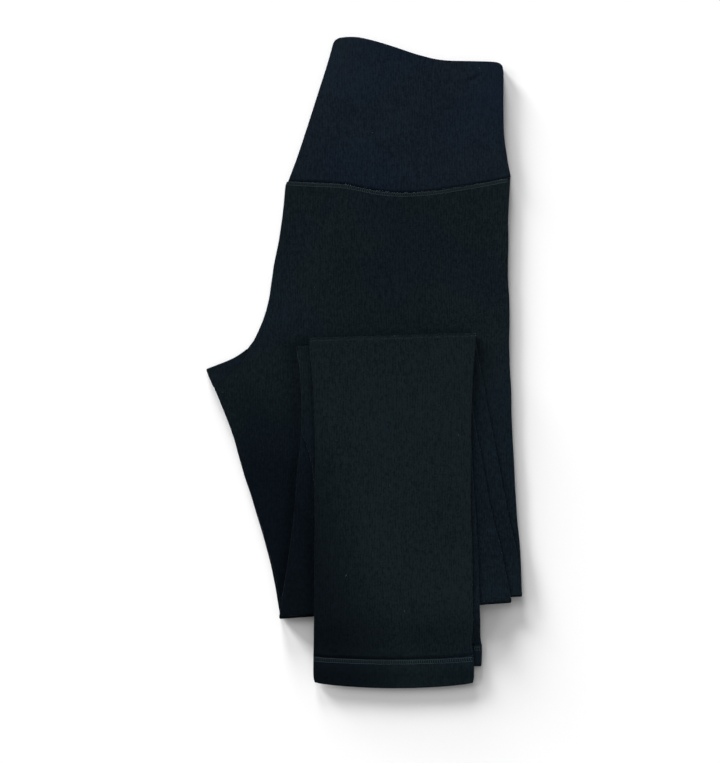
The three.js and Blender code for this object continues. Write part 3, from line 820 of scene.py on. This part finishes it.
def band_rise(x, y, t):
    left, right = band_edges(np.clip((y - BAND_FOOT_Y) / BAND_HEIGHT, 0, 1))
    sides = smooth((x - left) / BAND_SIDE_FADE) * smooth((right - x) / BAND_SIDE_FADE)
    swell = BAND_SWELL + BAND_CROSS_WAVE * ripple(x + 0.4 * y, 3, 110) + BAND_LONG_WAVE * ripple(y, 7, 70)
    creases = sum(h * bump_line(x, y, a, b, w) for a, b, w, h in BAND_CREASES)
    above = y - curve_y(SEAM, x)
    pucker = BAND_PUCKER * ripple(x, 12, 19) * np.exp(-above / BAND_PUCKER_FADE)
    return (swell * smooth(above / SWELL_STARTS) + pucker) * sides + creases


def band_stations(height):
    shares = np.linspace(0, 1, BAND_STATIONS)
    out = []
    for t in (*FOOT_SHARES, *shares[2:]):
        left, right = band_edges(t)
        fullness = math.sin(min(t / FOOT_SHARES[-1], 1) * math.pi / 2) ** FOOT_FULLNESS
        thick = BAND_THICK * (FOOT_THIN + (1 - FOOT_THIN) * fullness)
        out.append(Station(float(left), 0.0, float(right), 0.0, height, 0.0, thick, float(t)))
    return out


band_knit = knit_material("waistband_knit", (0.0011, 0.0027, 0.0050), (0.0042, 0.0073, 0.0114))
band_form = {"across": BAND_ACROSS, "bend": band_bend, "wall": BAND_WALL, "wander": BAND_WANDER,
             "rims": (0, 1)}
left_band = cloth_tube("left_waistband_knit", band_stations(BAND_HEIGHTS["left"]), band_knit, seed=11,
                       **band_form)
right_band = cloth_tube("right_waistband_knit", band_stations(BAND_HEIGHTS["right"]), band_knit, seed=14,
                        rise=band_rise, **band_form)
for piece, node in ((left_band, "left_waistband"), (right_band, "right_waistband")):
    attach(piece, "root")
    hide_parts(node)

# The hems. The leg's end turned up inside and coverstitched, so that it is a thicker ring of cloth,
# open at its end. The right one bows down a little in the middle, over the left one.
HEM_THICK = 3.0
HEM_WALL = 1.2
HEM_WANDER = 0.2
HEM_ACROSS = 48
HEM_STEP = 1.2
# The hem starts a little thicker than the leg, and is full after this many rows
HEM_START = LEG_THICK + 0.25
HEM_GROWS = 3
# How high the right hem's free end still stands
RIGHT_HEM_END = 3.3
# Edges as for the legs, then how far it has come down past its start, and the bow of its row
LEFT_HEM = (
    (-34.6, -228, 95.5, -228, 0, 0), (-34.4, -234, 95.6, -234, 0, 0), (-34.4, -240, 95.5, -240, 0, 0),
    (-34.6, -245.2, 95.2, -245.2, 0, 0),
)
RIGHT_HEM = (
    (-41.2, -236.6, 88.4, -236.2, 0, 2.4), (-41.2, -242, 88.8, -241.8, 0, 2.8),
    (-41.2, -247, 88.8, -246.8, 0.06, 3.2), (-41.2, -251, 88.8, -251, 0.45, 3.6),
    (-41, -255, 88.8, -255.2, 0.85, 4), (-40.4, -258.1, 88.2, -258.5, 1, 4.4),
)


def hem_stations(rows, start, end):
    """Stations of a hem whose height goes from start to end."""
    out = []
    for i, (*edges, fall, bow) in enumerate(spline(rows, HEM_STEP)):
        thick = HEM_START + (HEM_THICK - HEM_START) * float(smooth(i / HEM_GROWS))
        out.append(Station(*edges, start + (end - start) * fall, 0.0, thick, bow))
    return out


# The line where the right hem starts, and its bow
HEM_LINE = (-236.8, 2.4)
# The two tucks that the stitch rows press in: height, distance from the hem's start, half width
TUCKS = ((-0.28, 1, 0.6), (-0.28, 4.4, 0.6))
HEM_SWELL, SWELL_FROM, SWELL_OVER = 0.3, 4, 5
HEM_WAVE, WAVE_UNTIL, WAVE_OVER = 0.12, 6, 4


def across_hem(x, height, bow):
    """A line across the right hem, bowed as its rows are."""
    share = np.clip((x - SHIN_LEFT) / (SHIN_RIGHT - SHIN_LEFT), 0, 1)
    return height - bow * np.sin(np.pi * share) ** BOW_FLATNESS


def hem_rise(x, y, bow):
    down = across_hem(x, *HEM_LINE) - y
    tuck = sum(bell(down, *row) for row in TUCKS)
    body = HEM_SWELL * smooth((down - SWELL_FROM) / SWELL_OVER) * (1 + 0.5 * ripple(x, 21, 40))
    return tuck + body + HEM_WAVE * ripple(x, 17, 13) * smooth((WAVE_UNTIL - down) / WAVE_OVER)


hem_knit = knit_material("hem_knit", (0.0007, 0.0023, 0.0033), (0.0032, 0.0064, 0.0080))
hem_form = {"across": HEM_ACROSS, "wall": HEM_WALL, "wander": HEM_WANDER, "rims": (0, -1)}
left_rows = hem_stations(LEFT_HEM, LEFT_HEIGHTS["hem"], LEFT_HEIGHTS["hem"])
right_rows = hem_stations(RIGHT_HEM, RIGHT_HEIGHTS["hem"], RIGHT_HEM_END)
left_hem = cloth_tube("left_hem_knit", left_rows, hem_knit, seed=21, **hem_form)
right_hem = cloth_tube("right_hem_knit", right_rows, hem_knit, seed=24, rise=hem_rise, **hem_form)
for piece, node in ((left_hem, "left_hem"), (right_hem, "right_hem")):
    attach(piece, "root")
    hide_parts(node)

# The gusset. A small shaped piece of the same knit at the crotch point, in two halves that lie on
# each other, set into the leg with a curved flat seam.
GUSSET_EDGE = (
    (-96, 11.2), (-101.7, 7), (-107.4, 3.8), (-113.1, 1.3), (-121.2, -1.8), (-127.2, -4.2), (-128, -5.4),
    (-126.6, -9.6), (-122.6, -18.8),
)
GUSSET_RINGS = 60
GUSSET_ACROSS = 14
# It reaches up the hip to this height, and over the leg's edge by this much
GUSSET_TOP = 13.2
GUSSET_LAP = 1.3
# How high its middle stands, and the seam allowance along its free edge: height, distance, half width
GUSSET_CROWN = 0.3
GUSSET_RIDGE = (0.35, 2.4, 0.8)
# At its tips the rows get this narrow, and their edges this share of the width
TIP_WIDTH = 1e-6
TIP_ROUND = 1 / 2.2


def gusset_crown(reach, width):
    share = min(max(reach / width, 0), 1)
    return GUSSET_CROWN * math.sin(math.pi * share) + bell(reach, *GUSSET_RIDGE)


def along_line(points, shares):
    points = np.array(points, float)
    lengths = np.concatenate([[0], np.cumsum(np.hypot(*np.diff(points, axis=0).T))])
    return np.column_stack([np.interp(shares * lengths[-1], lengths, points[:, k]) for k in (0, 1)])


def gusset_half(name, height, swell):
    shares = np.linspace(0, 1, GUSSET_RINGS)
    free = along_line(spline(GUSSET_EDGE, 0.5), shares)
    hip = [(left_x + GUSSET_LAP, left_y) for left_x, left_y, *_ in spline(HIP, 1) if left_y < GUSSET_TOP]
    seam = along_line(hip, shares)
    half = LEG_THICK / 2
    steps = ring_steps(GUSSET_ACROSS)
    rings = []
    for outer, inner in zip(free, seam):
        width = max(math.hypot(*(inner - outer)), TIP_WIDTH)
        toward = (inner - outer) / width
        edge = min(half, width * TIP_ROUND)
        for u, out, up in steps:
            reach = edge + (width - 2 * edge) * u - out * edge
            flat = outer + toward * reach
            crown = swell * gusset_crown(reach, width) if up > 0 else 0
            rings.append((flat[0] * MM, flat[1] * MM, (height + up * half + crown * up) * MM))
    count = len(steps)
    faces = []
    for r in range(GUSSET_RINGS - 1):
        for i in range(count):
            n = (i + 1) % count
            faces.append((r * count + i, r * count + n, (r + 1) * count + n, (r + 1) * count + i))
    faces += [tuple(range(count)), tuple(range((GUSSET_RINGS - 1) * count, GUSSET_RINGS * count))]
    mesh = bpy.data.meshes.new(name)
    mesh.from_pydata(rings, [], faces)
    return finish_mesh(name, mesh, gusset_knit)


gusset_knit = knit_material("gusset_knit", (0.0009, 0.0025, 0.0040), (0.0038, 0.0067, 0.0090))
left_gusset = gusset_half("left_gusset_knit", LEFT_HEIGHTS["down"], 0)
right_gusset = gusset_half("right_gusset_knit", RIGHT_HEIGHTS["down"], 1)
for piece, node in ((left_gusset, "left_gusset"), (right_gusset, "right_gusset")):
    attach(piece, "root")
    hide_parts(node)

# The thread. Black polyester coverstitch: two rows of short stitches side by side with a looper
# thread that crosses between them, along the waist seam and the hems. The gusset seam has one row.
THREAD_RADIUS = 0.19
CROSS_RADIUS = 0.14
STITCH = 1.8
THREAD_SIDES = 6
THREAD_TAPER = 0.55
# Along a stitch and along a crossing thread: the share of its length, and the lift over the cloth
STITCH_ARC = ((0.0, -0.12), (0.2, 0.1), (0.5, 0.17), (0.8, 0.1), (1.0, -0.12))
CROSS_ARC = ((0.0, -0.05), (0.3, 0.12), (0.7, 0.12), (1.0, -0.05))
# How uneven the stitches are: the first one's start, sideways scatter, length, and the crossings' lean
FIRST_STITCH = 0.3
SCATTER = 0.07
STITCH_SHARE = (0.72, 0.86)
LEAN = (0.15, 0.1)
# The thread's tone: how fine its stretches and its grain are, how much the stretches do, and the whole
STRETCH_SCALE, THREAD_GRAIN = 38, 500
STRETCH_GAIN, STRETCH_OFFSET = 1.6, -0.5
THREAD_GAIN = 0.6
# Where the first rows run: below the waist seam, across the two hems, and inside the gusset's seam,
# and how far from each the second row lies
WAIST_ROW, WAIST_ENDS, WAIST_GAP = 1.7, (-62.5, 118.2), 2.3
HEM_ROW, HEM_ENDS, HEM_GAP = (-237.6, 2.6), (-40.4, 88), 3.1
LEFT_HEM_ROW, LEFT_HEM_GAP = ((89.2, -230.0), (95.2, -230.0)), 2.6
GUSSET_ROW, GUSSET_ROW_TOP = (1.1, 0.2), 11
GUSSET_GAP = 1.4
# Height in metres that the cloth under a stitch is looked for from
LOOK_FROM = 0.1


def build_thread(name, dark, light):
    material, tree, shader = new_material(name)
    place = tree.nodes.new("ShaderNodeTexCoord").outputs["Object"]
    # the stitches stand out more along some stretches than along others
    slow = noise(tree, place, STRETCH_SCALE)
    stretches = math_node(tree, "MULTIPLY_ADD", slow, STRETCH_GAIN, STRETCH_OFFSET)
    fine = math_node(tree, "ADD", noise(tree, place, THREAD_GRAIN), stretches)
    tone = math_node(tree, "MULTIPLY", fine, THREAD_GAIN, clamp=True)
    colours = tree.nodes.new("ShaderNodeValToRGB")
    colours.color_ramp.elements[0].color = (*dark, 1)
    colours.color_ramp.elements[1].color = (*light, 1)
    link(tree, tone, colours.inputs["Fac"])
    link(tree, colours.outputs["Color"], shader.inputs["Base Color"])
    set_inputs(shader, {"Roughness": 0.6, "Specular IOR Level": 0.06})
    return material


seam_thread = build_thread("seam_thread", (0.0090, 0.0160, 0.0195), (0.0310, 0.0460, 0.0530))
gusset_thread = build_thread("gusset_thread", (0.0016, 0.0036, 0.0048), (0.0060, 0.0100, 0.0125))


def surface_of(*pieces):
    """Gives the function that finds the height of the cloth under a place."""
    trees = []
    for piece in pieces:
        mesh = piece.data
        vertices = [v.co.copy() for v in mesh.vertices]
        trees.append(BVHTree.FromPolygons(vertices, [tuple(p.vertices) for p in mesh.polygons]))

    def height(x, y):
        eye_point, down = Vector((x * MM, y * MM, LOOK_FROM)), Vector((0, 0, -1))
        hits = [tree.ray_cast(eye_point, down)[0] for tree in trees]
        found = [hit.z / MM for hit in hits if hit is not None]
        return max(found) if found else None
    return height


def thread_tube(points, radius, vertices, faces):
    """Adds one short thread through its points to the lists, with closed tapered ends."""
    base = len(vertices)
    points = [Vector(p) for p in points]
    for i, point in enumerate(points):
        ahead = points[min(i + 1, len(points) - 1)] - points[max(i - 1, 0)]
        side = ahead.cross(Vector((0, 0, 1))).normalized()
        top = side.cross(ahead).normalized()
        thin = THREAD_TAPER if i in (0, len(points) - 1) else 1.0
        for k in range(THREAD_SIDES):
            angle = k / THREAD_SIDES * math.tau
            spot = point + (side * math.cos(angle) + top * math.sin(angle)) * radius * thin
            vertices.append(tuple(spot * MM))
    for i in range(len(points) - 1):
        for k in range(THREAD_SIDES):
            n = (k + 1) % THREAD_SIDES
            a, b = base + i * THREAD_SIDES, base + (i + 1) * THREAD_SIDES
            faces.append((a + k, a + n, b + n, b + k))
    faces.append(tuple(base + k for k in reversed(range(THREAD_SIDES))))
    last = base + (len(points) - 1) * THREAD_SIDES
    faces.append(tuple(last + k for k in range(THREAD_SIDES)))


def coverstitch(name, line, gap, height, seed, rows=2, thread=seam_thread):
    """Rows of stitches beside a line of points, with crossing threads between the rows."""
    line = np.array(line, float)
    lengths = np.concatenate([[0], np.cumsum(np.hypot(*np.diff(line, axis=0).T))])
    count = int(lengths[-1] / STITCH)
    random = np.random.default_rng(seed)
    vertices, faces = [], []

    def at(distance, across):
        x, y = (np.interp(distance, lengths, line[:, k]) for k in (0, 1))
        x2, y2 = (np.interp(distance + 0.5, lengths, line[:, k]) for k in (0, 1))
        dx, dy = x2 - x, y2 - y
        size = math.hypot(dx, dy) or 1
        return x + dy / size * across, y - dx / size * across

    def laid(distance, across, lift):
        x, y = at(distance, across)
        z = height(x, y)
        return None if z is None else (x, y, z + lift)

    for i in range(count):
        start = i * STITCH + FIRST_STITCH
        for row in range(rows):
            shift = random.normal(0, SCATTER)
            reach = STITCH * random.uniform(*STITCH_SHARE)
            points = [laid(start + reach * t, row * gap + shift, lift) for t, lift in STITCH_ARC]
            if all(points):
                thread_tube(points, THREAD_RADIUS, vertices, faces)
        if rows > 1:
            lean = random.normal(*LEAN)
            points = [laid(start + lean * t, gap * t, lift) for t, lift in CROSS_ARC]
            if all(points):
                thread_tube(points, CROSS_RADIUS, vertices, faces)
    mesh = bpy.data.meshes.new(name)
    mesh.from_pydata(vertices, [], faces)
    return finish_mesh(name, mesh, thread)


waist_x = np.arange(*WAIST_ENDS, 1.0)
waist_line = np.column_stack([waist_x, curve_y(SEAM, waist_x) - WAIST_ROW])
hem_x = np.arange(*HEM_ENDS, 1.0)
hem_line = np.column_stack([hem_x, across_hem(hem_x, *HEM_ROW)])
gusset_line = [(left_x + GUSSET_ROW[0], left_y + GUSSET_ROW[1])
               for left_x, left_y, *_ in spline(HIP, 1) if left_y < GUSSET_ROW_TOP]
on_hip = surface_of(right_leg)
threads = [
    coverstitch("waist_seam_thread", waist_line, WAIST_GAP, on_hip, 31),
    coverstitch("right_hem_thread", hem_line, HEM_GAP, surface_of(right_hem), 32),
    coverstitch("left_hem_thread", LEFT_HEM_ROW, LEFT_HEM_GAP, surface_of(left_hem), 33),
    coverstitch("gusset_seam_thread", gusset_line, GUSSET_GAP, on_hip, 34, rows=1, thread=gusset_thread),
]
for piece in threads:
    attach(piece, "root")

# Lint. A few short pale fibres of other cloth that have settled on the garment. Each one is a thin
# bent thread that lies loose on the knit.
lint_fibre = build_thread("lint_fibre", (0.0350, 0.0430, 0.0460), (0.0800, 0.0920, 0.0960))
# Where each one's middle is, its length, and the way it lies
LINT = (
    (6.9, 186.6, 0.9, 2.4), (75.2, 188.9, 0.7, 0.4), (92.9, 238.9, 1.1, 1.2), (7, 150.6, 0.9, 0.9),
    (32.2, -199.2, 1.4, 1.3), (75.6, -57.6, 0.8, 2), (-115.1, -23.4, 0.8, 0.2), (-14.6, -170.4, 2.2, 1.1),
    (48.4, 92.3, 0.7, 2.8), (-40.2, 61.5, 0.6, 0.7), (20.5, -98.3, 0.7, 1.7),
)
LINT_RADIUS = 0.11
# Along a fibre: the share of its length, and how far its way is turned there
FIBRE_BEND = ((-0.5, 0), (-0.1, 0.3), (0.2, 0.3), (0.5, 0))
on_cloth = surface_of(right_leg, right_band)
lint_vertices, lint_faces = [], []
for x, y, length, way in LINT:
    spots = [(x + math.cos(way + bend) * length * t, y + math.sin(way + bend) * length * t)
             for t, bend in FIBRE_BEND]
    heights = [on_cloth(*spot) for spot in spots]
    if None not in heights:
        fibre = [(*spot, z + LINT_RADIUS) for spot, z in zip(spots, heights)]
        thread_tube(fibre, LINT_RADIUS, lint_vertices, lint_faces)
lint_mesh = bpy.data.meshes.new("lint")
lint_mesh.from_pydata(lint_vertices, [], lint_faces)
lint = finish_mesh("lint", lint_mesh, lint_fibre)
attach(lint, "root")
